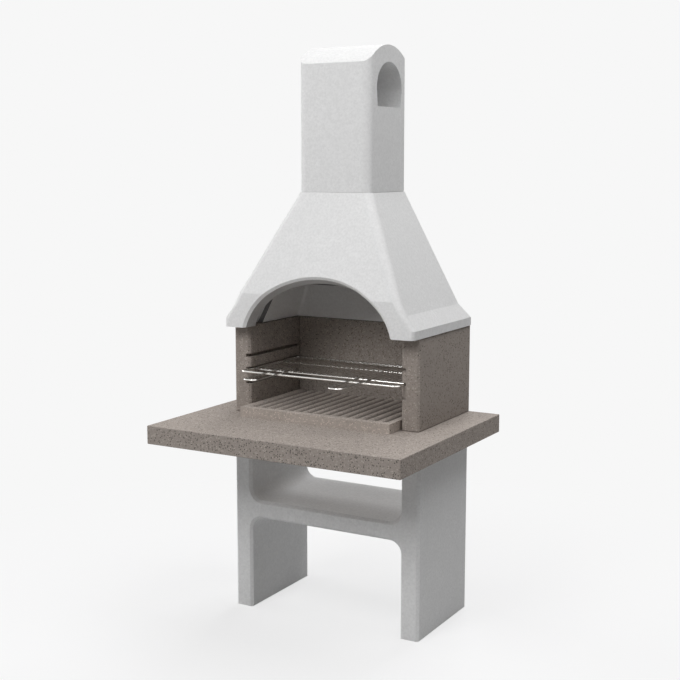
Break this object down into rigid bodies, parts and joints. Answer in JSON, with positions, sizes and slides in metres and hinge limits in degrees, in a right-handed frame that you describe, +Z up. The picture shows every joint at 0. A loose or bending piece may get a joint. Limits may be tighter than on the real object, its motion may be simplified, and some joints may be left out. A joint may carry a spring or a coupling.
{
  "type": "concrete barbecue",
  "caption": "Free-standing garden barbecue of cast concrete: H-shaped base, worktop, open firebox with a sliding wire grill, arched smoke hood and chimney with side outlets.",
  "frame": {"origin": "on the floor, under the middle of the worktop", "axes": "+X to the right as the cook stands at it, +Y towards the back, +Z up"},
  "size_m": [1, 0.8, 2.076],
  "materials": {
    "white_concrete": "fine cast white concrete, matt",
    "grey_concrete": "light grey cast concrete, matt",
    "granulate_concrete": "brownish grey granulate concrete with dark specks, matt",
    "hearth_concrete": "refractory concrete, matt",
    "adhesive": "cured construction adhesive, matt",
    "reinforcing_steel": "drawn steel, cast in",
    "chromed_wire": "bright chromed wire"
  },
  "bodies": {
    "root": {"base_frame": "grey_concrete", "base_reinforcement": "reinforcing_steel", "base_adhesive": "adhesive", "worktop": "granulate_concrete", "worktop_reinforcement": "reinforcing_steel", "wall_adhesive": "adhesive", "left_wall": "granulate_concrete", "right_wall": "granulate_concrete", "back_panel": "granulate_concrete", "panel_adhesive": "adhesive", "hearth_plate": "hearth_concrete", "hood_adhesive": "adhesive", "hood": "white_concrete", "chimney_adhesive": "adhesive", "chimney": "white_concrete"},
    "grill": {"grill_frame": "chromed_wire", "grill_front_bar": "chromed_wire", "grill_middle_bar": "chromed_wire", "grill_back_bar": "chromed_wire", "grill_wires": "chromed_wire", "grill_left_handle": "chromed_wire", "grill_right_handle": "chromed_wire"}
  },
  "joints": [
    {"name": "grill_slide", "type": "slide", "parent": "root", "child": "grill", "axis": [0, -1, 0], "range_m": [0, 0.3]}
  ]
}
